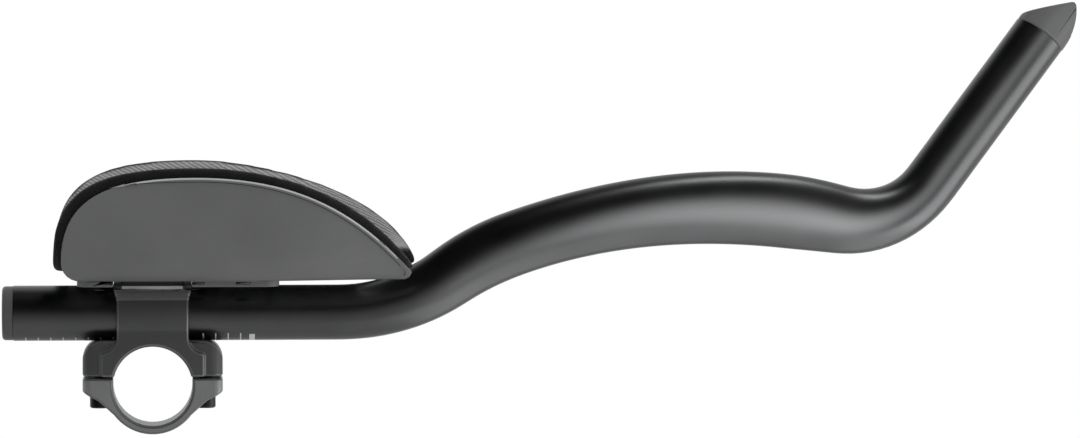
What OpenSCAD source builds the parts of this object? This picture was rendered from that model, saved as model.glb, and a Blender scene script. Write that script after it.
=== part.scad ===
// Clip-on aero handlebar extension: a bent extension bar, the bracket that clamps it above a
// handlebar, and a padded armrest on that bracket. This is the right-hand one of a pair.
// X points forward along the extension, Y points inboard and Z points up.
// The origin is the centre of the handlebar clamp bore, whose axis is Y.

/* [Handlebar clamp] */
// Diameter of the handlebar that the clamp closes on
bore_d = 31.8; // [25.4:0.1:35]
// Width of the clamp along the handlebar
clamp_w = 24; // [20:0.5:30]
// Height of the split above the bore axis
split_z = 3.4; // [2:0.1:5]
// Gap left between the bracket and the cap
split_gap = 0.8; // [0.4:0.1:2]
// Wall of the cap under the bore
cap_wall = 3.4; // [2.5:0.1:6]
// Distance between the two clamp screws
clamp_bolt_pitch = 42; // [41:0.5:52]
// Reach of each lug beyond its screw
lug_reach = 7.1; // [5.5:0.1:9]
// Height of the upper lugs above the bore axis
lug_top = 18.3; // [14:0.1:20]
// Depth of the cap's lugs below the split
cap_lug_depth = 7.4; // [5:0.1:10]
// Chamfer at both mouths of the bore
bore_chamfer = 0.8; // [0.3:0.1:1.2]

/* [Extension bar] */
// Outer diameter of the tube at both ends
tube_d = 22.2; // [20:0.1:24]
// Wall of the tube
tube_wall = 2; // [1.2:0.1:3]
// Metal between the handlebar bore and the tube bore
stack_wall = 1.8; // [1.4:0.1:5]
// Reach of the tube behind the clamp
rear_reach = 55.9; // [40:0.1:80]
// Distance from the clamp to the start of the first bend
straight_reach = 75.5; // [60:0.5:100]
// Length of the first bend along the tube
rise_len = 47; // [40:0.5:60]
// Climb at the end of the first bend, in degrees
rise_angle = 35.3; // [20:0.1:40]
// Length of the bend that eases the climb
ease_len = 28.5; // [20:0.5:40]
// Climb at the end of the easing bend, in degrees
ease_angle = 19.5; // [10:0.5:30]
// Length of the long arch
arch_len = 134.9; // [100:0.1:170]
// Climb at the end of the arch, in degrees
arch_angle = -11.5; // [-20:0.5:0]
// Length of the upturn before the grip
upturn_len = 43.5; // [36:0.5:60]
// Climb of the straight grip, in degrees
grip_angle = 51; // [30:0.5:60]
// Length of the straight grip
grip_len = 77; // [50:0.5:120]
// Inboard turn at the end of the arch, in degrees
arch_inboard = 6; // [0:0.5:10]
// Inboard turn of the grip, in degrees
grip_inboard = 18; // [0:0.5:20]
// Height of the oval section after the easing bend
ease_height = 26.1; // [22.2:0.1:28]
// Greatest height of the oval section
oval_height = 30; // [24:0.1:32]
// Distance from the greatest height to the upturn
oval_back = 23; // [10:1:40]
// Width lost for each millimetre of height gained
flank_flatten = 0.45; // [0:0.05:0.6]

/* [Plugs] */
// Height of the rear plug behind the tube
rear_plug_h = 4.4; // [2:0.1:8]
// Length of each plug's stem inside the tube
plug_stem_len = 14; // [8:1:24]
// Reach of the wedge nose beyond the tube
nose_len = 17.6; // [14:0.1:20]
// Height at which the wedge's flat face leaves the tube's side
nose_shoulder = 3.4; // [2:0.1:6]
// Slope of the wedge's flat face away from the bar's axis, in degrees
nose_slope = 42.5; // [36:0.5:50]
// Radius of the wedge's rounded underside
nose_radius = 24; // [22.5:0.5:40]
// Turn of the wedge about the bar's axis, in degrees
nose_turn = 14; // [-20:1:20]

/* [Bracket ring and flange] */
// Length of the ring along the tube
ring_len = 28.7; // [24:0.1:34]
// Wall of the ring beside the tube
ring_wall = 3.6; // [2.5:0.1:5]
// Depth of the skirt that joins the ring to the clamp
skirt_w = 26; // [22:0.5:32]
// Reach of the skirt from the bore axis
skirt_reach = 20.7; // [19:0.1:24]
// Length of the flange along the tube
flange_len = 31.3; // [28:0.1:36]
// Width of the flange across the tube
flange_w = 36; // [32:0.5:44]
// Height of the flange's rim above the tube
flange_rise = 1; // [0.8:0.1:2]
// Thickness of the flange's rim
flange_t = 1.8; // [1.2:0.1:3]
// Height of the raised seat above the rim
seat_h = 2.6; // [2:0.1:4]
// Slit in the ring
ring_slit = 1.6; // [1:0.1:3]
// Distance from the tube's axis to the pinch screw
pinch_offset = 19.5; // [18.5:0.1:24]

/* [Screws] */
// Thread diameter of every screw
screw_d = 5; // [4:0.5:5]
// Diameter of a socket head
socket_head_d = 8.5; // [7:0.5:8.5]
// Diameter of a button head
button_head_d = 9.5; // [8:0.5:9.5]
// Height of a button head
button_head_h = 2.75; // [2:0.25:3]
// Length of a clamp screw under its head
clamp_screw_len = 16; // [14:1:18]
// Length of an armrest screw under its head
armrest_screw_len = 8; // [7:1:9]
// Distance between the two armrest screws
armrest_screw_pitch = 25; // [23:0.5:25.5]
// Thickness of a washer
washer_t = 1; // [0.5:0.1:1.5]
// Diameter of a washer
washer_d = 10; // [9:0.5:12]

/* [Armrest shell] */
// Rear end of the shell behind the clamp
shell_rear = 36.1; // [30:0.1:45]
// Front tip of the shell ahead of the clamp
shell_front = 103.3; // [90:0.1:120]
// Height of the walls above the shell's underside
wall_h = 41.8; // [30:0.1:50]
// Half of the width at the foot of the walls
shell_half_w = 44; // [38:0.5:50]
// Outward lean of the walls, in degrees
wall_lean = 4; // [0:0.5:8]
// Thickness of the walls and the floor
shell_t = 2.8; // [2:0.1:3.5]
// Radius where the floor turns up into a wall
corner_r = 13; // [8:0.5:18]
// Distance between the rows of bolt holes
hole_row_pitch = 18; // [18:0.5:20]
// Height of the bead along the rim
bead_h = 1.7; // [1:0.1:3]
// How far the bead stands out of the wall
bead_out = 0.6; // [0.3:0.1:1]

/* [Armrest pad] */
// Thickness of the foam pad
pad_t = 8; // [5:0.5:10]
// Thickness of the hook tape under the pad
hook_t = 1.2; // [0.6:0.1:2]
// Height of the pad above the rim of the shell
pad_proud = 3.7; // [1:0.1:6]
// How much further forward the pad reaches on its inboard side
pad_inboard_reach = 2; // [0:0.1:4]

/* [Hidden] */
$fn = 64;
eps = 0.01;

// Clearances
thread_gap = 0.05;
hole_gap = 0.25;
tube_gap = 0.05;
plug_gap = 0.1;
seat_gap = 0.3;
flange_gap = 0.05;
head_gap = 0.6;

// Heights that the pieces share
bore_r = bore_d / 2;
tube_r = tube_d / 2;
tube_bore_r = tube_r - tube_wall;
tube_z = bore_r + stack_wall + tube_r;
rim_z = tube_z + tube_r + flange_rise;
seat_z = rim_z + seat_h;
channel_depth = 0.3;
shell_z = seat_z - channel_depth;
floor_z = shell_z + shell_t;
rim_top_z = shell_z + wall_h;

// Clamp and bracket
body_bottom = split_z + split_gap / 2;
cap_top = split_z - split_gap / 2;
cap_lug_z = cap_top - cap_lug_depth;
clamp_seat_z = cap_lug_z;
cap_lug_corner = 3.6;
lug_x = clamp_bolt_pitch / 2 + lug_reach;
lug_round = 8;
lug_w = clamp_w - 2;
upper_lug_corner = 5;
skirt_top = tube_z - 9.3;
flange_under = rim_z - flange_t;
flange_corner = 4;
gusset_r = (flange_w - skirt_w) / 2;
gusset_low = flange_under - gusset_r;
seat_l = ring_len - 3;
seat_w = armrest_screw_pitch + 6;
seat_corner = 2;
armrest_hole_depth = armrest_screw_len - washer_t - (floor_z - seat_z) + 0.5;
ear_h = 16;
ear_r = screw_d + 1.5;

// Armrest
crest_x = 17;
rear_foot_r = 7.8;
tip_h = 3.5;
narrow_from = 40;
tip_narrowing = 6;
rear_narrowing = 2;
tip_corner_growth = 5;
corner_steps = 5;
trough_top = rim_top_z + 12;
trough_stations = [for (i = [0:20]) -shell_rear - 10 + i * (shell_rear + shell_front + 20) / 20];
base_rear = 30;
base_front = 50.6;
base_w = 62;
base_corner = 6;
bead_from = -14;
bar_gap = 3.5;
notch_x = shell_front - 21;
hook_floor_w = 44;
hook_wall_from = -12;
hook_wall_to = 56;
hook_wall_low = shell_z + corner_r + 7;
hook_wall_h = 14;
pad_rear_grow = 3.7;
pad_tip_grow = 1.2;
pad_tip_rise = 1.8;

// Where the bends of the bar begin, measured along the tube from its rear end
bend_start = rear_reach + straight_reach;
rise_end = bend_start + rise_len;
ease_end = rise_end + ease_len;
arch_end = ease_end + arch_len;
upturn_end = arch_end + upturn_len;
oval_at = arch_end - oval_back;

climb_table = [[0, 0], [bend_start, 0], [rise_end, rise_angle], [ease_end, ease_angle],
               [arch_end, arch_angle], [upturn_end, grip_angle]];
inboard_table = [[0, 0], [ease_end, 2], [arch_end, arch_inboard], [upturn_end, grip_inboard]];
height_table = [[bend_start, tube_d], [ease_end, ease_height], [oval_at, oval_height], [upturn_end, tube_d]];

bar_rings = 44;
bar_sides = 28;
ring_step = (upturn_end - bend_start) / bar_rings;
// The swept stretch enters the round ends of the tube by this step, just inside their walls
joint_step = 0.02;
joint_len = 1;

function climb(s) = lookup(s, climb_table);
function inboard(s) = lookup(s, inboard_table);
function along(s) = [cos(climb(s)) * cos(inboard(s)), cos(climb(s)) * sin(inboard(s)), sin(climb(s))];
function upward(s) = [-sin(climb(s)) * cos(inboard(s)), -sin(climb(s)) * sin(inboard(s)), cos(climb(s))];
function sideways(s) = [sin(inboard(s)), -cos(inboard(s)), 0];
function ease(t) = t * t * (3 - 2 * t);
function reversed(list) = [for (i = [len(list) - 1:-1:0]) list[i]];

// Height of the section at a place along the tube, eased between the rows of the table
function eased(s, table, i = 0) =
    s <= table[i][0] ? table[i][1] :
    i == len(table) - 1 ? table[i][1] :
    s > table[i + 1][0] ? eased(s, table, i + 1) :
    table[i][1] + (table[i + 1][1] - table[i][1]) * ease((s - table[i][0]) / (table[i + 1][0] - table[i][0]));
function section_h(s) = eased(s, height_table);
function section_w(s) = tube_d - flank_flatten * (section_h(s) - tube_d);

// Points on the bar's axis, one for each ring of the swept stretch
axis_points = [for (i = 0, p = [straight_reach, 0, tube_z]; i <= bar_rings;
                    p = p + ring_step * along(bend_start + (i + 0.5) * ring_step), i = i + 1) p];
grip_start = axis_points[bar_rings];

function oval_ring(p, s, inset) = [
    for (k = [0:bar_sides - 1])
        let (a = 360 * k / bar_sides)
        p + (section_w(s) / 2 - inset) * cos(a) * sideways(s) + (section_h(s) / 2 - inset) * sin(a) * upward(s)
];

// Triangles that close a ring that runs along a band and back
function band_cap(count) = [
    for (i = [0:count / 2 - 2], half = [0, 1])
        half == 0 ? [i, i + 1, count - 2 - i] : [i, count - 2 - i, count - 1 - i]
];

// A closed skin over rings of points that all have the same count
module skin(rings, cap) {
    count = len(rings[0]);
    last = (len(rings) - 1) * count;
    sides = [
        for (i = [0:len(rings) - 2], k = [0:count - 1], half = [0, 1])
            let (a = i * count + k, b = i * count + (k + 1) % count)
            half == 0 ? [a, b, a + count] : [b, b + count, a + count]
    ];
    ends = [for (t = cap, end = [0, 1]) end == 1 ? [last + t[0], last + t[1], last + t[2]] : [t[2], t[1], t[0]]];
    polyhedron([for (r = rings, p = r) p], concat(sides, ends), convexity = 8);
}

// The swept stretch as a hollow tube: out along its skin and back along its bore.
// Both ends reach a little way into the walls of the round ends of the tube.
module swept_bar() {
    places = concat([[axis_points[0] - joint_len * along(bend_start), bend_start]],
                    [for (i = [0:bar_rings]) [axis_points[i], bend_start + i * ring_step]],
                    [[grip_start + joint_len * along(upturn_end), upturn_end]]);
    rings = concat([for (p = places) oval_ring(p[0], p[1], joint_step)],
                   [for (p = reversed(places)) oval_ring(p[0], p[1], tube_wall - joint_step)]);
    count = len(rings);
    faces = [
        for (i = [0:count - 1], k = [0:bar_sides - 1], half = [0, 1])
            let (
                a = i * bar_sides + k,
                b = i * bar_sides + (k + 1) % bar_sides,
                c = (i + 1) % count * bar_sides + k,
                d = (i + 1) % count * bar_sides + (k + 1) % bar_sides
            )
            half == 0 ? [a, b, c] : [b, d, c]
    ];
    polyhedron([for (r = rings, p = r) p], faces, convexity = 8);
}

// Puts children that point along Z onto the grip's axis, starting where the grip starts
module on_grip() {
    translate(grip_start) rotate([0, 0, grip_inboard]) rotate([0, 90 - grip_angle, 0]) children();
}

// A round tube that stands on z = 0
module round_tube(l) {
    difference() {
        cylinder(r = tube_r, h = l);
        translate([0, 0, -1]) cylinder(r = tube_bore_r, h = l + 2);
    }
}

module extension_bar() {
    color("#26272a") {
        translate([-rear_reach, 0, tube_z]) rotate([0, 90, 0]) round_tube(bend_start);
        swept_bar();
        on_grip() round_tube(grip_len);
    }
}

module plug_stem() {
    stem_r = tube_bore_r - plug_gap;
    translate([0, 0, -plug_stem_len]) cylinder(r1 = stem_r - 1, r2 = stem_r, h = 1);
    translate([0, 0, -plug_stem_len + 1]) cylinder(r = stem_r, h = plug_stem_len - 1 + eps);
}

module rear_plug() {
    head_r = tube_r - 0.25;
    round_r = 1.5;
    color("#1c1d1f") translate([-rear_reach, 0, tube_z]) rotate([0, -90, 0]) difference() {
        union() {
            plug_stem();
            cylinder(r = head_r, h = rear_plug_h - round_r);
            rotate_extrude() union() {
                square([head_r - round_r, rear_plug_h]);
                intersection() {
                    translate([head_r - round_r, rear_plug_h - round_r]) circle(r = round_r);
                    square([head_r, rear_plug_h]);
                }
            }
        }
        translate([0, 0, -plug_stem_len - eps]) cylinder(r = tube_bore_r - 2.2, h = plug_stem_len);
    }
}

module tip_plug() {
    color("#1c1d1f") on_grip() translate([0, 0, grip_len]) difference() {
        union() {
            plug_stem();
            rotate([0, 0, -nose_turn]) intersection() {
                cylinder(r = tube_r, h = nose_len);
                rotate([90, 0, 0]) linear_extrude(tube_d, center = true) intersection() {
                    translate([-tube_r, 0]) square([tube_d, nose_len]);
                    translate([tube_r - nose_radius, 0]) circle(r = nose_radius);
                    translate([-tube_r, nose_shoulder]) rotate(90 - nose_slope) translate([-tube_d, -2 * tube_d])
                        square([4 * tube_d, 2 * tube_d]);
                }
            }
        }
        translate([0, 0, -plug_stem_len - eps]) cylinder(r = tube_bore_r - 2.2, h = plug_stem_len);
    }
}

// A plate with rounded vertical edges, standing on z = 0
module rounded_plate(l, w, r, h) {
    translate([-l / 2 + r, -w / 2, 0]) cube([l - 2 * r, w, h]);
    translate([-l / 2, -w / 2 + r, 0]) cube([l, w - 2 * r, h]);
    for (x = [-1, 1], y = [-1, 1])
        translate([x * (l / 2 - r), y * (w / 2 - r), 0]) cylinder(r = r, h = h);
}

// Turns a profile drawn in X and Z into a solid that is w wide along Y
module along_y(w) {
    rotate([90, 0, 0]) linear_extrude(w, center = true) children();
}

// Turns a profile drawn in Y and Z into a solid that is l long along X
module along_x(l) {
    rotate([90, 0, 90]) linear_extrude(l, center = true) children();
}

// The hole for the handlebar, with a chamfer at each mouth
module handlebar_bore(w) {
    rotate([90, 0, 0]) cylinder(r = bore_r, h = w + 2, center = true);
    for (side = [0, 180])
        rotate([90, 0, side]) translate([0, 0, w / 2 - bore_chamfer])
            cylinder(r1 = bore_r, r2 = bore_r + bore_chamfer + eps, h = bore_chamfer + eps);
}

module at_clamp_screws() {
    for (x = [-1, 1]) translate([x * clamp_bolt_pitch / 2, 0, 0]) children();
}

// Ring, skirt and flange seen from the side
module bracket_side_profile() {
    flare = skirt_reach - ring_len / 2;
    translate([-ring_len / 2, body_bottom]) square([ring_len, flange_under - body_bottom]);
    polygon([[-ring_len / 2, gusset_low], [ring_len / 2, gusset_low], [flange_len / 2, flange_under],
             [-flange_len / 2, flange_under]]);
    difference() {
        translate([-skirt_reach, body_bottom]) square([2 * skirt_reach, skirt_top - body_bottom]);
        for (x = [-1, 1]) translate([x * skirt_reach, skirt_top]) circle(r = flare);
    }
}

// Ring, skirt and flange seen from the front
module bracket_front_profile() {
    translate([0, tube_z]) circle(r = tube_r + ring_wall);
    translate([-skirt_w / 2, 0]) square([skirt_w, flange_under]);
    difference() {
        translate([-flange_w / 2, gusset_low]) square([flange_w, flange_under - gusset_low]);
        for (y = [-1, 1]) translate([y * flange_w / 2, gusset_low]) circle(r = gusset_r);
    }
}

// One upper lug of the clamp seen from the side, with its outer corner rounded
module lug_profile() {
    translate([0, body_bottom]) square([lug_x - lug_round, lug_top - body_bottom]);
    translate([0, body_bottom]) square([lug_x, lug_top - lug_round - body_bottom]);
    intersection() {
        translate([lug_x - lug_round, lug_top - lug_round]) circle(r = lug_round);
        translate([0, body_bottom]) square([lug_x, lug_top - body_bottom]);
    }
}

// The two ears that the pinch screw pulls together
module pinch_ears() {
    translate([0, pinch_offset, tube_z - ear_h / 2]) cylinder(r = ear_r, h = ear_h);
    translate([-ear_r, 0, tube_z - ear_h / 2]) cube([2 * ear_r, pinch_offset, ear_h]);
}

module bracket_body() {
    screw_r = screw_d / 2;
    color("#3c3d40") difference() {
        union() {
            intersection() {
                along_y(2 * flange_w) bracket_side_profile();
                along_x(2 * skirt_reach + 2) bracket_front_profile();
            }
            intersection() {
                along_y(clamp_w) union() {
                    lug_profile();
                    mirror([1, 0]) lug_profile();
                }
                translate([0, 0, -1]) rounded_plate(2 * lug_x, lug_w, upper_lug_corner, lug_top + 2);
            }
            translate([0, 0, flange_under - eps])
                rounded_plate(flange_len, flange_w, flange_corner, flange_t + eps);
            translate([0, 0, rim_z - eps]) rounded_plate(seat_l, seat_w, seat_corner, seat_h + eps);
            pinch_ears();
        }
        handlebar_bore(skirt_w);
        translate([0, 0, tube_z]) rotate([0, 90, 0]) cylinder(r = tube_r + tube_gap, h = 4 * skirt_reach, center = true);
        translate([-2 * ring_len, 0, tube_z - ring_slit / 2]) cube([4 * ring_len, 2 * pinch_offset, ring_slit]);
        at_clamp_screws() translate([0, 0, body_bottom - 1])
            cylinder(r = screw_r + thread_gap, h = clamp_seat_z + clamp_screw_len + 1.5 - body_bottom + 1);
        for (y = [-1, 1]) translate([0, y * armrest_screw_pitch / 2, seat_z - armrest_hole_depth])
            cylinder(r = screw_r + thread_gap, h = armrest_hole_depth + 1);
        translate([0, pinch_offset, tube_z]) cylinder(r = screw_r + thread_gap, h = ear_h);
        translate([0, pinch_offset, tube_z - ear_h]) cylinder(r = screw_r + hole_gap, h = ear_h);
        translate([0, pinch_offset, tube_z - ear_h / 2 - ear_h])
            cylinder(r = socket_head_d / 2 + head_gap, h = ear_h);
    }
}

// The cap's lugs seen from the side, with the webs that run smoothly onto the round wall
module cap_lug_profile(wall_r) {
    web = [clamp_bolt_pitch / 2 + 0.7, cap_lug_z - 1.5];
    tangent = atan2(web[1], web[0]) - acos(wall_r / norm(web));
    half = [[lug_x, cap_top], [lug_x, cap_lug_z + 2], [lug_x - 2.6, cap_lug_z + 0.4], web,
            (wall_r - 0.3) * [cos(tangent), sin(tangent)]];
    polygon(concat(half, [for (p = reversed(half)) [-p[0], p[1]]]));
}

module clamp_cap() {
    wall_r = bore_r + cap_wall;
    color("#46474a") difference() {
        intersection() {
            union() {
                along_y(clamp_w) cap_lug_profile(wall_r);
                rotate([90, 0, 0]) cylinder(r = wall_r, h = clamp_w, center = true);
            }
            translate([0, 0, -2 * wall_r]) rounded_plate(2 * lug_x, clamp_w, cap_lug_corner, 2 * wall_r + cap_top);
        }
        handlebar_bore(clamp_w);
        translate([-bore_r, -clamp_w, 0]) cube([bore_d, 2 * clamp_w, cap_top + 1]);
        at_clamp_screws() {
            translate([0, 0, cap_lug_z - 1]) cylinder(r = screw_d / 2 + hole_gap, h = cap_lug_depth + 2);
            translate([0, 0, cap_lug_z - 2 * wall_r]) cylinder(r = socket_head_d / 2 + head_gap, h = 2 * wall_r);
        }
    }
}

// A socket-head screw with its head below z = 0 and its shank above
module socket_screw(l) {
    head_h = screw_d;
    key = 0.8 * screw_d;
    difference() {
        union() {
            translate([0, 0, -head_h]) cylinder(r1 = socket_head_d / 2 - 0.5, r2 = socket_head_d / 2, h = 0.5);
            translate([0, 0, 0.5 - head_h]) cylinder(r = socket_head_d / 2, h = head_h - 0.5);
            translate([0, 0, -eps]) cylinder(r = screw_d / 2, h = l - 0.8 + eps);
            translate([0, 0, l - 0.8]) cylinder(r1 = screw_d / 2, r2 = screw_d / 2 - 0.8, h = 0.8);
        }
        translate([0, 0, -head_h - eps]) cylinder(d = key / cos(30), h = 0.55 * head_h, $fn = 6);
    }
}

// A button-head screw with its head above z = 0 and its shank below
module button_screw(l) {
    key = 0.6 * screw_d;
    dome_r = (pow(button_head_d / 2, 2) + pow(button_head_h, 2)) / (2 * button_head_h);
    difference() {
        union() {
            rotate_extrude() intersection() {
                translate([0, button_head_h - dome_r]) circle(r = dome_r);
                square([button_head_d / 2, button_head_h]);
            }
            translate([0, 0, 0.8 - l]) cylinder(r = screw_d / 2, h = l - 0.8 + eps);
            translate([0, 0, -l]) cylinder(r1 = screw_d / 2 - 0.8, r2 = screw_d / 2, h = 0.8);
        }
        translate([0, 0, 0.35 * button_head_h]) cylinder(d = key / cos(30), h = button_head_h, $fn = 6);
    }
}

module clamp_bolt_rear() {
    color("#141516") translate([-clamp_bolt_pitch / 2, 0, clamp_seat_z]) socket_screw(clamp_screw_len);
}

module clamp_bolt_front() {
    color("#141516") translate([clamp_bolt_pitch / 2, 0, clamp_seat_z]) socket_screw(clamp_screw_len);
}

module pinch_bolt() {
    color("#141516") translate([0, pinch_offset, tube_z - ear_h / 2]) socket_screw(ear_h);
}

module armrest_bolt(side) {
    color("#141516") translate([0, side * armrest_screw_pitch / 2, floor_z + washer_t])
        button_screw(armrest_screw_len);
}

module washer(side) {
    color("#2a2b2d") translate([0, side * armrest_screw_pitch / 2, floor_z]) difference() {
        cylinder(d = washer_d, h = washer_t);
        translate([0, 0, -1]) cylinder(r = screw_d / 2 + hole_gap, h = washer_t + 2);
    }
}

module armrest_bolt_outboard() { armrest_bolt(-1); }
module armrest_bolt_inboard() { armrest_bolt(1); }
module washer_outboard() { washer(-1); }
module washer_inboard() { washer(1); }

// A smooth curve between two points, pulled towards two handles
function curve(a, b, c, d, steps) = [
    for (i = [0:steps])
        let (t = i / steps, u = 1 - t)
        u * u * u * a + 3 * u * u * t * b + 3 * u * t * t * c + t * t * t * d
];

// The half-moon outline of the walls seen from the side, grown by a margin at its rear, crest and tip.
// It runs from the rear foot over the crest to the tip, then along the underside. Each part of the
// curve is pulled by handles: rear as [up, back] and front as [ahead, back, up].
function half_moon(rear_grow, crest_grow, tip_grow, bottom, rear = [0.77, 0.65], front = [0.41, 0.29, 0.74],
                   tip_rise = 0) =
    let (
        rear_x = -shell_rear - rear_grow,
        tip_x = shell_front + tip_grow,
        top = rim_top_z + crest_grow,
        foot = shell_z + rear_foot_r,
        tip_z = shell_z + tip_h + tip_rise,
        back = crest_x - rear_x,
        ahead = tip_x - crest_x,
        drop = top - tip_z
    )
    concat(
        curve([rear_x, foot], [rear_x, foot + rear[0] * (top - foot)], [crest_x - rear[1] * back, top],
              [crest_x, top], 18),
        curve([crest_x, top], [crest_x + front[0] * ahead, top],
              [tip_x - front[1] * ahead, tip_z + front[2] * drop], [tip_x, tip_z], 22),
        [[tip_x - 0.8, tip_z - 2.2], [tip_x - 2.5, bottom]],
        [for (a = [270:-15:195]) [rear_x + rear_foot_r + rear_foot_r * cos(a), bottom + rear_foot_r * (1 + sin(a))]]
    );

// Half of the trough's width where its walls begin, and the radius of its corners, along X
function trough_w(x) =
    shell_half_w - tip_narrowing * ease(min(max((x - narrow_from) / (shell_front - narrow_from), 0), 1))
    - rear_narrowing * ease(min(max((-x - shell_rear / 3) / shell_rear, 0), 1));
function trough_r(x, inset) =
    max(corner_r + tip_corner_growth * ease(min(max((x - narrow_from) / (shell_front - narrow_from), 0), 1)),
        inset + 0.6);

// One wall point of the trough at a height, for a surface that lies inset inside the shell's outside
function wall_y(x, z, inset) =
    let (c = trough_r(x, inset))
    trough_w(x) - c + (c - inset) / cos(wall_lean) + (z - shell_z - c) * tan(wall_lean);

// The trough's section at x, from the top of one wall down, across the floor and up the other wall
function trough_path(x, inset, top) =
    let (
        c = trough_r(x, inset),
        half = concat(
            [[wall_y(x, top, inset), top]],
            [for (k = [0:corner_steps])
                let (a = -wall_lean - (90 - wall_lean) * k / corner_steps)
                [trough_w(x) - c + (c - inset) * cos(a), shell_z + c + (c - inset) * sin(a)]]
        )
    )
    concat([for (p = half) [x, p[0], p[1]]], [for (i = [len(half) - 1:-1:0]) [x, -half[i][0], half[i][1]]]);

// A trough-shaped layer between two insets
module trough_layer(from, to, top) {
    rings = [for (x = trough_stations) concat(trough_path(x, from, top), reversed(trough_path(x, to, top)))];
    skin(rings, band_cap(len(rings[0])));
}

// The notch in the front of the floor that lets the rising bar through
module bar_notch(gap) {
    notch_r = tube_r + gap;
    translate([notch_x + notch_r, 0, shell_z - 10]) cylinder(r = notch_r, h = 40);
    translate([notch_x + notch_r, -notch_r, shell_z - 10]) cube([60, 2 * notch_r, 40]);
}

module at_hole_rows() {
    for (i = [-1:2], y = [-1, 1]) translate([i * hole_row_pitch, y * armrest_screw_pitch / 2, 0]) children();
}

// The raised base under the floor: a wall round it, a rib beside each row of holes and a boss at each hole
module shell_base() {
    base_l = base_front + base_rear;
    base_h = shell_z - rim_z + eps;
    rib_t = 2;
    channel = flange_len / 2 + flange_gap;
    difference() {
        union() {
            translate([base_front - base_l / 2, 0, rim_z]) difference() {
                rounded_plate(base_l, base_w, base_corner, base_h);
                translate([0, 0, -1]) rounded_plate(base_l - 2 * rib_t, base_w - 2 * rib_t, base_corner - rib_t, base_h + 2);
            }
            for (x = [-channel - rib_t, channel, 1.5 * hole_row_pitch - rib_t / 2])
                translate([x, -base_w / 2 + rib_t / 2, rim_z]) cube([rib_t, base_w - rib_t, base_h]);
            for (i = [-1, 1, 2], y = [-1, 1])
                translate([i * hole_row_pitch, y * armrest_screw_pitch / 2, rim_z]) cylinder(r = screw_d, h = base_h);
        }
        translate([-channel, -base_w, rim_z - 1]) cube([2 * channel, 2 * base_w, base_h + 1]);
        for (i = [-1, 1, 2])
            translate([i * hole_row_pitch - 2.8, -base_w, shell_z - 1.2]) cube([5.6, 2 * base_w, 0.9]);
    }
}

module armrest_shell() {
    color("#3f4043") difference() {
        union() {
            intersection() {
                trough_layer(0, shell_t, trough_top);
                along_y(3 * shell_half_w) polygon(half_moon(0, 0, 0, shell_z));
            }
            shell_base();
            intersection() {
                trough_layer(-bead_out, shell_t / 2, trough_top);
                along_y(3 * shell_half_w) difference() {
                    polygon(half_moon(0, 0, 0, shell_z));
                    polygon(half_moon(20, -bead_h, -1.4 * bead_h, shell_z - 20));
                }
                translate([bead_from, -2 * shell_half_w, shell_z + tip_h / 2]) cube([200, 4 * shell_half_w, 100]);
            }
        }
        translate([-seat_l / 2 - seat_gap, -seat_w / 2 - seat_gap, rim_z])
            cube([seat_l + 2 * seat_gap, seat_w + 2 * seat_gap, seat_h]);
        bar_notch(bar_gap);
        at_hole_rows() translate([0, 0, rim_z - 1]) cylinder(r = screw_d / 2 + hole_gap, h = floor_z - rim_z + 2);
    }
}

module hook_floor(from, to) {
    color("#18181a") difference() {
        translate([(from + to) / 2, 0, floor_z]) rounded_plate(to - from, hook_floor_w, 3, hook_t);
        bar_notch(bar_gap + 1);
    }
}

module hook_floor_rear() { hook_floor(-shell_rear + rear_foot_r + 3, -washer_d / 2 - 2); }
module hook_floor_front() { hook_floor(washer_d / 2 + 2, notch_x - 2); }

// A patch of hook tape on one wall, between the shell and the pad
module hook_wall(side) {
    color("#18181a") skin([
        for (x = [for (s = trough_stations) if (s > hook_wall_from && s < hook_wall_to) s])
            [for (p = [[shell_t, 0], [shell_t, 1], [shell_t + hook_t, 1], [shell_t + hook_t, 0]])
                let (z = hook_wall_low + p[1] * hook_wall_h)
                [x, side * wall_y(x, z, p[0]), z]]
    ], band_cap(4));
}

module hook_wall_outboard() { mirror([0, 1, 0]) hook_wall(1); }
module hook_wall_inboard() { hook_wall(1); }

function pad_outline(reach, front) =
    half_moon(pad_rear_grow, pad_proud, pad_tip_grow + reach, shell_z, [0.81, 0.67], front, pad_tip_rise);

module armrest_pad() {
    inner = shell_t + hook_t;
    head_room = washer_t + button_head_h + head_gap;
    color("#2c2c2f") difference() {
        intersection() {
            trough_layer(inner, inner + pad_t, trough_top);
            union() {
                translate([0, -shell_half_w, 0]) along_y(2 * shell_half_w) polygon(pad_outline(0, [0.39, 0.24, 0.73]));
                translate([0, shell_half_w, 0]) along_y(2 * shell_half_w)
                    polygon(pad_outline(pad_inboard_reach, [0.3, 0.12, 0.7]));
            }
        }
        bar_notch(bar_gap);
        for (y = [-1, 1])
            translate([0, y * armrest_screw_pitch / 2, floor_z]) cylinder(r = washer_d / 2 + head_gap, h = head_room);
    }
}

extension_bar();
rear_plug();
tip_plug();
bracket_body();
clamp_cap();
clamp_bolt_rear();
clamp_bolt_front();
pinch_bolt();
armrest_shell();
armrest_bolt_outboard();
armrest_bolt_inboard();
washer_outboard();
washer_inboard();
hook_floor_rear();
hook_floor_front();
hook_wall_outboard();
hook_wall_inboard();
armrest_pad();
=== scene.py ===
# %% [markdown]
# # A clip-on aero handlebar extension
# The part is a bent aluminium bar held above a handlebar by a forged bracket, with a moulded armrest
# and a foam pad on top. The CAD model brings every piece at its true size. This script gives each one
# the edges, the smooth skin and the finish that the real piece has.

# %% Load the fixed frame
import math

import bmesh
import bpy
import numpy as np
from mathutils import Matrix, Vector


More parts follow.
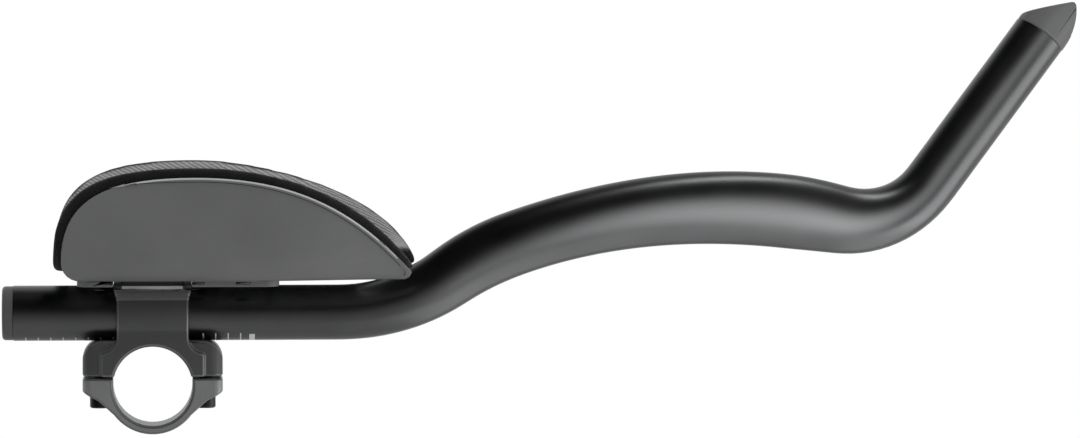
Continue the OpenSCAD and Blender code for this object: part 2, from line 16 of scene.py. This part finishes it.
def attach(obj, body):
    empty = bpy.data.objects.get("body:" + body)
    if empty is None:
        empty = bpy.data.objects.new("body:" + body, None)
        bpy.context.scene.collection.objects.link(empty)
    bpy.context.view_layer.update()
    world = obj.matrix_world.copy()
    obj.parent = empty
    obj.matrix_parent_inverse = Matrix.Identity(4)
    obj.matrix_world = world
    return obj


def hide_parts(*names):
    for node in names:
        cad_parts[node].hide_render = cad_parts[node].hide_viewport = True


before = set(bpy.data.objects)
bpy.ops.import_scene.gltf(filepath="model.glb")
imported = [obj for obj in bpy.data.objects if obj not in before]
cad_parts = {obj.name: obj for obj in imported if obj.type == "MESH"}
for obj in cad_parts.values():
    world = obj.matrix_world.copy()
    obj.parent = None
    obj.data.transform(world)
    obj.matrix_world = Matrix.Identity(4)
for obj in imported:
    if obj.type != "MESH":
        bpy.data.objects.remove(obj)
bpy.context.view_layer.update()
MM = 0.001
print("pieces in the frame:", len(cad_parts))

# %% [markdown]
# ## Helpers for node materials
# Each finish is one shader with a few texture nodes. Writing the links out by hand soon gets long, so
# small helpers add a node, set its inputs and join it up. Textures on the hard pieces read the piece's
# own coordinates, so they stick to the piece wherever it goes.

# %% Node helpers
def new_finish(name):
    mat = bpy.data.materials.new(name)
    mat.use_nodes = True
    tree = mat.node_tree
    return mat, tree, tree.nodes["Principled BSDF"]


def plug_in(tree, node, inputs):
    for key, value in inputs.items():
        if isinstance(value, bpy.types.NodeSocket):
            tree.links.new(value, node.inputs[key])
        else:
            node.inputs[key].default_value = value


def add(tree, kind, inputs=None, **settings):
    node = tree.nodes.new(kind)
    for key, value in settings.items():
        setattr(node, key, value)
    plug_in(tree, node, inputs or {})
    return node


def own_place(tree):
    return add(tree, "ShaderNodeTexCoord").outputs["Object"]


def relief(tree, skin, height, depth):
    bump = add(tree, "ShaderNodeBump", {"Height": height, "Strength": 1.0, "Distance": depth * MM})
    plug_in(tree, skin, {"Normal": bump.outputs[0]})


# %% Numbers, textures and greys
def calc(tree, operation, a, b=0.0, c=0.0):
    return add(tree, "ShaderNodeMath", {0: a, 1: b, 2: c}, operation=operation).outputs[0]


def span(tree, value, low, high, to_low, to_high):
    inputs = {"Value": value, "From Min": low, "From Max": high, "To Min": to_low, "To Max": to_high}
    return add(tree, "ShaderNodeMapRange", inputs).outputs["Result"]


def blend(tree, factor, a, b):
    return add(tree, "ShaderNodeMix", {0: factor, 2: a, 3: b}).outputs[0]


def blend_colours(tree, factor, a, b):
    return add(tree, "ShaderNodeMix", {0: factor, 6: a, 7: b}, data_type="RGBA").outputs[2]


def grain(tree, where, scale, detail=2.0):
    return add(tree, "ShaderNodeTexNoise", {"Vector": where, "Scale": scale, "Detail": detail}).outputs["Fac"]


def cells(tree, where, scale):
    return add(tree, "ShaderNodeTexVoronoi", {"Vector": where, "Scale": scale}).outputs["Distance"]


def grey(value, tint=0.0):
    return (value, value * (1 + tint / 2), value * (1 + tint), 1)


# %% [markdown]
# ## The satin anodised bar
# Black anodising leaves a dark metal that still shines along the flanks. Its finish is a dark metallic
# base with a broad gloss, faint clouds and a very fine grain left by polishing. The fitting marks on the
# straight tube are printed, so they are paint: lighter, not metallic. They could be modelled, but ink has
# no thickness that shows. They are placed by the piece's own coordinates and stay sharp at any zoom.

# %% Fitting marks as a mask
mark_pitch = 5.0
mark_half_width, mark_blur = 0.22, 0.05
rear_shift, front_shift = 50.8, 49.7
mark_foot, rear_mark_top, front_mark_top = 17.6, 19.3, 21.0


def between(tree, value, low, high, soft):
    rise = span(tree, value, (low - soft) * MM, (low + soft) * MM, 0, 1)
    fall = span(tree, value, (high - soft) * MM, (high + soft) * MM, 1, 0)
    return calc(tree, "MULTIPLY", rise, fall)


def fitting_marks(tree, where):
    x, y, z = add(tree, "ShaderNodeSeparateXYZ", {"Vector": where}).outputs

    def printed_patch(rear, front, foot, top, soft):
        return calc(tree, "MULTIPLY", between(tree, x, rear, front, soft), between(tree, z, foot, top, 0.1))

    outboard = span(tree, y, -1 * MM, 0, 1, 0)
    shift = span(tree, x, 0, 1 * MM, rear_shift * MM, front_shift * MM)
    step = calc(tree, "PINGPONG", calc(tree, "ADD", x, shift), mark_pitch / 2 * MM)
    line = span(tree, step, (mark_half_width - mark_blur) * MM, (mark_half_width + mark_blur) * MM, 1, 0)
    rear_row = printed_patch(-51.5, -15, mark_foot, rear_mark_top, 0.02)
    front_row = printed_patch(18.5, 37, mark_foot, front_mark_top, 0.02)
    lines = calc(tree, "MULTIPLY", line, calc(tree, "MAXIMUM", rear_row, front_row))
    block = printed_patch(38.8, 41, 17.8, 20.6, 0.05)
    return calc(tree, "MULTIPLY", outboard, calc(tree, "MAXIMUM", lines, block))


# %% Anodised finishes
def anodised(name, shade, roughness, bump, metallic=1.0, marks=False):
    mat, tree, skin = new_finish(name)
    where = own_place(tree)
    cloud = grain(tree, where, 38, 4)
    cloudy = span(tree, cloud, 0.3, 0.7, 0, 1)
    colour = blend_colours(tree, cloudy, grey(shade * 0.92, 0.03), grey(shade * 1.08, 0.02))
    if marks:
        printed = fitting_marks(tree, where)
        colour = blend_colours(tree, printed, colour, grey(0.62))
        metallic = span(tree, printed, 0, 1, metallic, 0)
    rough = span(tree, cloud, 0.3, 0.7, roughness - 0.03, roughness + 0.03)
    plug_in(tree, skin, {"Base Color": colour, "Roughness": rough, "Metallic": metallic})
    relief(tree, skin, grain(tree, where, 2600), bump)
    return mat


bar_finish = anodised("satin anodised bar", shade=0.14, roughness=0.33, bump=0.004, marks=True)
bracket_finish = anodised("blasted anodised bracket", 0.085, 0.46, 0.012, metallic=0.35)
cap_finish = anodised("blasted anodised cap", 0.30, 0.42, 0.012, metallic=0.5)
# Painted highlight: a lighter finish for the bevels, in place of the light that rounded edges catch.
edge_highlight_finish = anodised("anodised edge with painted highlight", 0.20, 0.40, 0.003, metallic=0.6)
# Painted highlight: the flange's end faces are painted light.
flange_end_highlight = anodised("flange end with painted highlight", 0.62, 0.30, 0.003, metallic=0.3)
print("metal finishes:", bar_finish.name, bracket_finish.name, cap_finish.name)


# %% [markdown]
# ## Moulded plastic, screws and hook tape
# The armrest shell and both plugs are injection moulded with a fine spark-eroded texture, which is why
# they look matt. Screws have a black oxide skin over steel. Hook tape is a field of tiny hooks, too small
# to model, so a cell texture stands for them.

# %% Moulded plastic
def moulded(name, shade, roughness, texture_scale, bump):
    mat, tree, skin = new_finish(name)
    where = own_place(tree)
    cloud = grain(tree, where, 22, 5)
    cloudy = span(tree, cloud, 0.35, 0.65, 0, 1)
    colour = blend_colours(tree, cloudy, grey(shade * 0.94, 0.03), grey(shade * 1.06, 0.03))
    scuffs = span(tree, grain(tree, where, 260, 6), 0.62, 0.8, 0, 0.2)
    colour = blend_colours(tree, scuffs, colour, grey(shade * 1.5, 0.02))
    rough = span(tree, cloud, 0.3, 0.7, roughness - 0.05, roughness + 0.05)
    plug_in(tree, skin, {"Base Color": colour, "Roughness": rough})
    relief(tree, skin, cells(tree, where, texture_scale), bump)
    return mat


shell_finish = moulded("spark-textured shell", shade=0.14, roughness=0.5, texture_scale=1500, bump=0.02)
# Painted highlight: the bead's upper rounding is painted light.
bead_highlight_finish = moulded("rim bead with painted highlight", 0.45, 0.35, 1500, 0.004)
# Painted shadow: a near-black finish on the bead's lower edge.
groove_painted_shadow = moulded("painted shadow under the bead", 0.02, 0.6, 1500, 0.004)
plug_finish = moulded("moulded plug", 0.08, 0.42, 2000, 0.012)
print("moulded finishes:", shell_finish.name, plug_finish.name)


# %% Screws, washers and hook tape
def turned_steel(name, shade, roughness):
    mat, tree, skin = new_finish(name)
    fine = grain(tree, own_place(tree), 900, 3)
    colour = blend_colours(tree, fine, grey(shade * 0.8), grey(shade * 1.2))
    rough = span(tree, fine, 0.3, 0.7, roughness - 0.06, roughness + 0.06)
    plug_in(tree, skin, {"Base Color": colour, "Roughness": rough, "Metallic": 1.0})
    relief(tree, skin, fine, 0.006)
    return mat


def hook_tape(name):
    mat, tree, skin = new_finish(name)
    hooks = cells(tree, own_place(tree), 900)
    colour = blend_colours(tree, hooks, grey(0.05), grey(0.012))
    plug_in(tree, skin, {"Base Color": colour, "Roughness": 0.85})
    relief(tree, skin, hooks, 0.3)
    return mat


screw_finish = turned_steel("black oxide screw", shade=0.06, roughness=0.38)
washer_finish = turned_steel("plain steel washer", 0.45, 0.34)
tape_finish = hook_tape("hook tape")
print("steel and tape finishes:", screw_finish.name, washer_finish.name, tape_finish.name)


# %% [markdown]
# ## Give the machined and moulded pieces real edges
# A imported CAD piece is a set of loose, flat triangles with knife-sharp edges. Real edges are broken by a
# file, a tumbler or the mould, and that thin rounding is what catches the light. The CAD mesh itself must
# stay as it is, so each piece gets a copy: its doubled corners are merged, its flat faces are joined, and
# a small bevel rounds the edges. Weighted normals keep the large faces flat beside the bevel.

# %% Copy a CAD piece and round its edges
sharp_edge = 32


def link(name, mesh):
    piece = bpy.data.objects.new(name, mesh)
    bpy.context.scene.collection.objects.link(piece)
    return piece


def merged_copy(node, name, flat=0.1):
    bm = bmesh.new()
    bm.from_mesh(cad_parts[node].data)
    bmesh.ops.remove_doubles(bm, verts=bm.verts, dist=0.002 * MM)
    if flat:
        bmesh.ops.dissolve_limit(bm, angle_limit=math.radians(flat), verts=bm.verts, edges=bm.edges)
    mesh = bpy.data.meshes.new(name)
    bm.to_mesh(mesh)
    bm.free()
    return link(name, mesh)


def finish_piece(piece, node, finishes, width, sharp=sharp_edge, weighed=False):
    for finish in finishes:
        piece.data.materials.append(finish)
    piece.data.shade_smooth()
    if width:
        bevel = piece.modifiers.new("broken edges", "BEVEL")
        bevel.width = width * MM
        bevel.segments = 2
        bevel.limit_method = "WEIGHT" if weighed else "ANGLE"
        bevel.angle_limit = math.radians(sharp)
        bevel.material = 1 if weighed else -1
        bevel.use_clamp_overlap = False
        bevel.miter_outer = "MITER_ARC"
        flow = piece.modifiers.new("large faces lead the normals", "WEIGHTED_NORMAL")
        flow.keep_sharp = True
    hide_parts(node)
    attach(piece, "root")


# %% [markdown]
# ## The forged bracket and its cap
# Both pieces are forged, machined and blasted. The bevels on their edges take a lighter finish, a painted
# highlight for the light that rounded edges catch. One bevel width for the whole piece would eat the thin
# flange and the bore's mouth, so each edge carries a weight that narrows it there. The bevel's own faces take
# the painted edge highlight.

# %% Weigh the edges of the forgings
flange_foot, flange_top, skirt_top = 39.2, 40.8, 38.9
mouth_reach = 17.3


def clamp_share(at):
    if at.z > skirt_top:
        return 0.4
    return 0.5 if math.hypot(at.x, at.z) < mouth_reach else 1.0


def weigh_edges(piece):
    bm = bmesh.new()
    bm.from_mesh(piece.data)
    weight = bm.edges.layers.float.new("bevel_weight_edge")
    for edge in bm.edges:
        if len(edge.link_faces) == 2 and edge.calc_face_angle(0) > math.radians(sharp_edge):
            edge[weight] = clamp_share((edge.verts[0].co + edge.verts[1].co) / 2 / MM)
    for face in bm.faces:
        middle = face.calc_center_median() / MM
        # The flange's end faces take slot 2, a painted highlight.
        if abs(face.normal.y) > 0.99 and flange_foot < middle.z < flange_top:
            face.material_index = 2
    bm.to_mesh(piece.data)
    bm.free()


for node, finish in (("bracket_body", bracket_finish), ("clamp_cap", cap_finish)):
    forging = merged_copy(node, node + "_finished")
    weigh_edges(forging)
    finish_piece(forging, node, (finish, edge_highlight_finish, flange_end_highlight), 0.8, weighed=True)
    print(f"{forging.name}: {len(forging.data.polygons)} faces before the bevel")

# %% [markdown]
# ## Plugs, screws, washers and tape
# These small pieces only need their corners taken off, each by the width that its own trade leaves: wide
# on a moulded plug, hair-thin on a screw head. The tape on the walls is bent sheet and keeps its edges.

# %% Round the small pieces
small_pieces = {
    "rear_plug": (plug_finish, 0.25),
    "tip_plug": (plug_finish, 0.9),
    "clamp_bolt_rear": (screw_finish, 0.15),
    "clamp_bolt_front": (screw_finish, 0.15),
    "pinch_bolt": (screw_finish, 0.15),
    "armrest_bolt_outboard": (screw_finish, 0.12),
    "armrest_bolt_inboard": (screw_finish, 0.12),
    "washer_outboard": (washer_finish, 0.12),
    "washer_inboard": (washer_finish, 0.12),
    "hook_floor_rear": (tape_finish, 0.2),
    "hook_floor_front": (tape_finish, 0.2),
    "hook_wall_outboard": (tape_finish, 0.0),
    "hook_wall_inboard": (tape_finish, 0.0),
}
for node, (finish, width) in small_pieces.items():
    finish_piece(merged_copy(node, node + "_finished"), node, (finish,), width)
print("small pieces rounded:", len(small_pieces))

# %% [markdown]
# ## The armrest shell and the bead along its rim
# The shell is a moulded trough. A bead runs along the rim of its walls. Its upper rounding is painted light, a
# painted highlight, and its lower edge is painted near black, a painted shadow under it. The rim's edges are
# found by how far they lie outside the trough's own surface, so the first thing needed is a measure of depth:
# zero on the outside of the shell and growing inwards.

# %% Depth of a point in the trough
trough_half_width, trough_foot, trough_corner, wall_lean = 44, 43.2, 13, math.radians(4)
narrow_from, shell_front, tip_narrowing, corner_growth = 40, 103.3, 6, 5
rear_from, shell_rear, rear_narrowing = 12.03, 36.1, 2


def ease(t):
    t = min(max(t, 0), 1)
    return t * t * (3 - 2 * t)


def trough_section(x):
    tip = ease((x - narrow_from) / (shell_front - narrow_from))
    rear = ease((-x - rear_from) / shell_rear)
    half_width = trough_half_width - tip_narrowing * tip - rear_narrowing * rear
    return half_width, trough_corner + corner_growth * tip


def trough_depth(point):
    x, y, z = (c / MM for c in point)
    half_width, corner = trough_section(x)
    across, up = abs(y) - (half_width - corner), z - (trough_foot + corner)
    if up >= 0:
        return corner - (across * math.cos(wall_lean) - up * math.sin(wall_lean))
    if across > 0:
        return corner - math.hypot(across, up)
    return z - trough_foot


# %% Round the bead
rim_angle = math.radians(50)
bead_front, bead_foot, bead_proud = 99, 45, 0.3


def bead_edges(bm, upper):
    found = []
    for edge in bm.edges:
        if len(edge.link_faces) != 2 or edge.calc_face_angle(0) < rim_angle:
            continue
        ends = [v.co for v in edge.verts]
        if max(end.x for end in ends) > bead_front * MM or min(end.z for end in ends) < bead_foot * MM:
            continue
        faces_up = max(f.normal.z for f in edge.link_faces) > 0.25
        if faces_up == upper and max(trough_depth(end) for end in ends) < -bead_proud:
            found.append(edge)
    return found


def round_bead(piece):
    bm = bmesh.new()
    bm.from_mesh(piece.data)
    # Slot 2 is the painted shadow under the bead, slot 1 is the bead's painted highlight.
    for upper, width, slot in ((False, 0.3, 2), (True, 0.65, 1)):
        chosen = bead_edges(bm, upper)
        bmesh.ops.bevel(bm, geom=chosen, offset=width * MM, segments=3, profile=0.5, affect="EDGES",
                        material=slot)
        print("edges rounded on the bead:", len(chosen))
    bm.to_mesh(piece.data)
    bm.free()


shell = merged_copy("armrest_shell", "armrest_shell_finished")
round_bead(shell)
finish_piece(shell, "armrest_shell", (shell_finish, bead_highlight_finish, groove_painted_shadow), 0.3)
print(f"{shell.name}: {len(shell.data.polygons)} faces before the bevel")

# %% [markdown]
# ## The bent bar as one smooth skin
# The real bar is a round tube that was bent on a mandrel and then pressed to a tall oval where the
# forearm passes. A curve with a bevel would keep one round section all along, so the skin is pulled ring
# by ring: one circle is extruded, and each new ring is moved, turned and stretched to the next place.

# %% The bar's axis and section
tube_d, tube_wall, tube_z = 22.2, 2.0, 28.8
rear_reach, straight_reach, grip_len = 55.9, 75.5, 77
rise_len, ease_len, arch_len, upturn_len = 47, 28.5, 134.9, 43.5
ease_height, oval_height, oval_back, flank_flatten = 26.1, 30, 23, 0.45

bend_start = rear_reach + straight_reach
ease_start = bend_start + rise_len
arch_start = ease_start + ease_len
upturn_start = arch_start + arch_len
grip_start = upturn_start + upturn_len
grip_end = grip_start + grip_len

climb_stops = [0, bend_start, ease_start, arch_start, upturn_start, grip_start]
climb_angles = [0, 0, 35.3, 19.5, -11.5, 51]
inboard_stops = [0, arch_start, upturn_start, grip_start]
inboard_angles = [0, 2, 6, 18]
height_stops = [bend_start, arch_start, upturn_start - oval_back, grip_start]
heights = [tube_d, ease_height, oval_height, tube_d]
print("length of the bar along its axis (mm):", round(grip_end, 1))


# %% Direction and section along the bar
def smoothed(stops, values, s, reach=4.0):
    return float(np.mean([np.interp(s + d, stops, values) for d in np.linspace(-reach, reach, 9)]))


def section_height(s):
    if s <= bend_start:
        return tube_d
    i = min(int(np.searchsorted(height_stops, s)) - 1, len(heights) - 2)
    share = ease((s - height_stops[i]) / (height_stops[i + 1] - height_stops[i]))
    return heights[i] + (heights[i + 1] - heights[i]) * share


def direction(s):
    climb = math.radians(smoothed(climb_stops, climb_angles, s))
    turn = math.radians(smoothed(inboard_stops, inboard_angles, s))
    return Vector((math.cos(climb) * math.cos(turn), math.cos(climb) * math.sin(turn), math.sin(climb)))


def ring_place(s, point):
    ahead = direction(s)
    side = Vector((ahead.y, -ahead.x, 0)).normalized()
    up = side.cross(ahead)
    if up.z < 0:
        up = -up
    tall = section_height(s)
    wide = tube_d - flank_flatten * (tall - tube_d)
    place = Matrix((side * wide / 2, up * tall / 2, ahead)).transposed().to_4x4()
    place.translation = point
    return Matrix.Scale(MM, 4) @ place


print("height of the oval halfway along the arch (mm):", round(section_height(upturn_start - arch_len / 2), 1))


# %% Pull the skin
axis_step, bend_spacing, straight_spacing, bend_margin = 0.5, 3, 15, 7


def bar_places():
    point, s = Vector((-rear_reach, 0, tube_z)), 0.0
    yield ring_place(s, point)
    while s < grip_end:
        point = point + axis_step * direction(s + axis_step / 2)
        s += axis_step
        near_bend = bend_start - bend_margin < s < grip_start + bend_margin
        if s % (bend_spacing if near_bend else straight_spacing) < 1e-6 or s >= grip_end:
            yield ring_place(s, point)


def pull_bar(sides=80):
    bm = bmesh.new()
    places = list(bar_places())
    bmesh.ops.create_circle(bm, segments=sides, radius=1, cap_ends=False)
    bmesh.ops.transform(bm, matrix=places[0], verts=bm.verts)
    ring = list(bm.edges)
    for before, after in zip(places, places[1:]):
        pulled = bmesh.ops.extrude_edge_only(bm, edges=ring)["geom"]
        verts = [g for g in pulled if isinstance(g, bmesh.types.BMVert)]
        own = set(verts)
        ring = [g for g in pulled if isinstance(g, bmesh.types.BMEdge) and all(v in own for v in g.verts)]
        bmesh.ops.transform(bm, matrix=after @ before.inverted(), verts=verts)
    bmesh.ops.recalc_face_normals(bm, faces=bm.faces)
    mesh = bpy.data.meshes.new("bar_skin")
    bm.to_mesh(mesh)
    bm.free()
    return link("bar_skin", mesh), len(places), places[-1].translation.copy()


bar, ring_count, bar_tip = pull_bar()
hollow = bar.modifiers.new("tube wall", "SOLIDIFY")
hollow.thickness = tube_wall * MM
hollow.offset = -1
finish_piece(bar, "extension_bar", (bar_finish,), 0.3, sharp=60)
print("rings:", ring_count, "tip of the tube (mm):", [round(v / MM, 2) for v in bar_tip])

# %% [markdown]
# ## The armrest pad
# The pad is foam with a ribbed woven face, cut from sheet and pressed into the trough. Its cut edge and its
# back are a dark brushed loop fabric, painted darker still as painted shade along the edge. Foam bulges
# between its edges, so the CAD solid is remeshed and blown up a little as cloth with its back held still, and
# the swelling is capped.

# %% Remesh the CAD solid
def apply_modifiers(piece):
    bpy.context.view_layer.objects.active = piece
    for modifier in list(piece.modifiers):
        bpy.ops.object.modifier_apply(modifier=modifier.name)


pad = merged_copy("armrest_pad", "pad_foam", flat=0)
remesh = pad.modifiers.new("even mesh", "REMESH")
remesh.mode = "VOXEL"
remesh.voxel_size = 1.6 * MM
apply_modifiers(pad)
print("pad faces after the remesh:", len(pad.data.polygons))

# %% Let the face swell
pad_back, foam, held_depth = 4.0, 8.0, 2.2
depths = [trough_depth(v.co) for v in pad.data.vertices]
print("depth of the foam (mm):", round(min(depths), 2), "to", round(max(depths), 2))


def swell(piece, pressure=4.0, cap=1.1):
    start = [v.co.copy() for v in piece.data.vertices]
    back = piece.vertex_groups.new(name="back")
    for i, depth in enumerate(depths):
        back.add([i], 1.0 if depth < pad_back + held_depth else 0.0, "REPLACE")
    cloth = piece.modifiers.new("swelling", "CLOTH")
    cloth.settings.use_pressure = True
    cloth.settings.uniform_pressure_force = pressure
    cloth.settings.effector_weights.gravity = 0
    cloth.settings.vertex_group_mass = "back"
    for number in range(1, 21):
        bpy.context.scene.frame_set(number)
    apply_modifiers(piece)
    bpy.context.scene.frame_set(1)
    moved = 0.0
    for v, home in zip(piece.data.vertices, start):
        move = v.co - home
        moved = max(moved, move.length)
        if move.length > cap * MM:
            v.co = home + move.normalized() * cap * MM
    print("the face wanted to move", round(moved / MM, 2), "mm and was capped at", cap)


swell(pad)

# %% Soften the cut edges
softened = bmesh.new()
softened.from_mesh(pad.data)
for _ in range(3):
    bmesh.ops.smooth_vert(softened, verts=softened.verts, factor=0.5,
                          use_axis_x=True, use_axis_y=True, use_axis_z=True)
softened.to_mesh(pad.data)
softened.free()
print("pad points smoothed:", len(pad.data.vertices))

# %% [markdown]
# ## The fabric on the pad
# The weave has to run round the trough, not through it. Two values are stored on the pad: a UV map that
# counts millimetres across and along the fabric, and a face value that is 1 on the woven face and 0 on
# the dark back and edge.

# %% Lay the fabric on the pad
wall_start, wall_foot, face_margin, face_blend = 31, 54.0, 2.0, 1.4
fabric = pad.data.uv_layers.new(name="fabric")
woven = pad.data.attributes.new("woven", "FLOAT", "POINT")
for v in pad.data.vertices:
    beyond_edge = trough_depth(v.co) - (pad_back + foam - face_margin)
    woven.data[v.index].value = min(max(beyond_edge / face_blend, 0), 1)
for loop in pad.data.loops:
    x, y, z = (c / MM for c in pad.data.vertices[loop.vertex_index].co)
    across = math.copysign(min(abs(y), wall_start) + max(z - wall_foot, 0), y)
    fabric.data[loop.index].uv = (across, x)
print("fabric laid on", len(fabric.data), "face corners")


# %% Weave the face
def wave(tree, value, length):
    return calc(tree, "SINE", calc(tree, "MULTIPLY", value, 2 * math.pi / length))


def woven_face(name, rib_length=1.5, thread_length=0.8):
    mat, tree, skin = new_finish(name)
    uv = add(tree, "ShaderNodeUVMap", uv_map="fabric").outputs["UV"]
    side = add(tree, "ShaderNodeAttribute", attribute_name="woven").outputs["Fac"]
    u, v, _ = add(tree, "ShaderNodeSeparateXYZ", {"Vector": uv}).outputs
    wobble = grain(tree, uv, 0.5, 3)
    slant = calc(tree, "ADD", calc(tree, "MULTIPLY", v, 0.55), calc(tree, "ADD", u, wobble))
    rib = wave(tree, slant, rib_length)
    thread = wave(tree, calc(tree, "SUBTRACT", v, calc(tree, "MULTIPLY", u, 0.4)), thread_length)
    weave = calc(tree, "MULTIPLY", calc(tree, "MULTIPLY_ADD", rib, 0.5, 0.5),
                 calc(tree, "MULTIPLY_ADD", thread, 0.25, 0.75))
    fuzz = grain(tree, uv, 2.4, 5)
    face = blend_colours(tree, weave, grey(0.20), grey(0.50))
    # The edge and back are dark loop fabric painted near black: partly their own colour, partly painted shade.
    edge = blend_colours(tree, span(tree, fuzz, 0.4, 0.75, 0, 1), grey(0.003), grey(0.022))
    plug_in(tree, skin, {"Base Color": blend_colours(tree, side, edge, face), "Roughness": 0.9,
                         "Sheen Weight": 0.05, "Sheen Roughness": 0.5})
    relief(tree, skin, blend(tree, side, fuzz, weave), 0.35)
    return mat


finish_piece(pad, "armrest_pad", (woven_face("ribbed weave over foam"),), 0)
rounder = pad.modifiers.new("rounder", "SUBSURF")
rounder.levels = rounder.render_levels = 1
print("the pad wears", pad.data.materials[0].name)

# %% [markdown]
# ## Camera
# A long lens three metres away keeps the tube's edges parallel, as they are in the photograph. It stands a
# little above the part and near the clamp's end of it, because the clamp's bore is seen straight on.

# %% Camera
camera_data = bpy.data.cameras.new("camera")
camera_data.sensor_width = 36
camera_data.lens = 248.3
camera_data.clip_end = 50
camera = bpy.data.objects.new("camera", camera_data)
bpy.context.scene.collection.objects.link(camera)
target = Vector((155.9, 0, 66.2)) * MM
azimuth, elevation, distance = math.radians(-2.75), math.radians(2.8), 3.0
level = math.cos(elevation)
away = Vector((math.sin(azimuth) * level, -math.cos(azimuth) * level, math.sin(elevation)))
camera.location = target + distance * away
camera.rotation_euler = (-away).to_track_quat("-Z", "Y").to_euler()
bpy.context.scene.camera = camera
print("camera at", [round(v, 3) for v in camera.location])

# %% [markdown]
# ## Light
# Dark satin metal is shaped by what it mirrors. Two large soft boxes at the right light the grip and the
# flanks, one of them in front with a narrow spread. A third below stands for light thrown back by a table,
# and a strip overhead picks out the upper edges. The world is kept dark at the upper left of the camera,
# which draws the black stripe down the grip, and it is plain white where the camera sees it.

# %% Soft boxes
def soft_box(name, place, aim, size, brightness, spread=180):
    lamp = bpy.data.lights.new(name, "AREA")
    lamp.shape = "RECTANGLE"
    lamp.size, lamp.size_y = size
    lamp.energy = brightness * math.pi * size[0] * size[1]
    lamp.spread = math.radians(spread)
    box = bpy.data.objects.new(name, lamp)
    bpy.context.scene.collection.objects.link(box)
    box.location = place
    box.rotation_euler = (Vector(aim) - Vector(place)).to_track_quat("-Z", "Y").to_euler()
    box.visible_camera = False
    print(f"{name}: {lamp.energy:.2f} W")


soft_box("front right box", (0.60, -0.33, -0.04), (0.60, 0, 0.02), (0.72, 0.66), 0.60, spread=76)
soft_box("right side box", (0.95, -0.15, -0.30), (0.38, 0, 0.08), (0.60, 0.70), 1.8)
soft_box("table bounce", (0.62, -0.15, -0.44), (0.62, -0.15, 0), (0.66, 0.80), 0.80)
soft_box("overhead strip", (0.45, -0.10, 1.10), (0.35, 0, 0.05), (0.5, 0.25), 4.0)

# %% World light and background
world = bpy.data.worlds.new("studio")
bpy.context.scene.world = world
world.use_nodes = True
sky = world.node_tree
rays = add(sky, "ShaderNodeLightPath").outputs
heading = add(sky, "ShaderNodeTexCoord").outputs["Generated"]
_, toward_back, toward_top = add(sky, "ShaderNodeSeparateXYZ", {"Vector": heading}).outputs

upper_left = Vector((-0.5, -0.5, 0.7)).normalized()
facing = add(sky, "ShaderNodeVectorMath", {0: heading, 1: upper_left}, operation="DOT_PRODUCT")
shade = span(sky, facing.outputs["Value"], 0.3, 0.65, 1, 0.02)
behind = span(sky, toward_back, 0.0, 0.5, 0.28, 0.6)
below = span(sky, toward_top, -0.8, -0.3, 0.35, 0.0)
mirrored = calc(sky, "MULTIPLY", calc(sky, "MAXIMUM", behind, below), shade)
scattered = span(sky, toward_top, -1, 1, 0.45, 1.0)
light = blend(sky, rays["Is Diffuse Ray"], mirrored, scattered)

seen = calc(sky, "MAXIMUM", rays["Is Camera Ray"], rays["Is Transmission Ray"])
grazed = calc(sky, "MULTIPLY", rays["Is Glossy Ray"], span(sky, toward_back, 0.75, 0.98, 0, 1))
strength = blend(sky, calc(sky, "MAXIMUM", seen, grazed), light, 1.0)
plug_in(sky, sky.nodes["Background"], {"Color": (1, 1, 1, 1), "Strength": strength})
print("world nodes:", len(sky.nodes))

# %% [markdown]
# ## Floor
# A round grey sheet well below the part takes its shadow. It fades out before its rim, so no edge shows.

# %% Floor
floor_mesh = bmesh.new()
bmesh.ops.create_circle(floor_mesh, segments=96, radius=1.3, cap_ends=True)
bmesh.ops.translate(floor_mesh, vec=(0.15, 0, -0.45), verts=floor_mesh.verts)
floor_data = bpy.data.meshes.new("floor")
floor_mesh.to_mesh(floor_data)
floor_mesh.free()
floor = link("floor", floor_data)

paper, tree, skin = new_finish("grey paper")
plug_in(tree, skin, {"Base Color": grey(0.45), "Roughness": 0.9})
flat = add(tree, "ShaderNodeVectorMath", {0: own_place(tree), 1: (1, 1, 0)}, operation="MULTIPLY")
radius = add(tree, "ShaderNodeVectorMath", {0: flat.outputs[0]}, operation="LENGTH").outputs["Value"]
clear = add(tree, "ShaderNodeBsdfTransparent").outputs[0]
faded = span(tree, radius, 0.5, 1.15, 0, 1)
fade = add(tree, "ShaderNodeMixShader", {0: faded, 1: skin.outputs[0], 2: clear})
plug_in(tree, tree.nodes["Material Output"], {"Surface": fade.outputs[0]})
floor_data.materials.append(paper)
print("the floor lies at", round(floor_data.vertices[0].co.z, 2), "m")

# %% Colours as written
bpy.context.scene.view_settings.view_transform = "Standard"
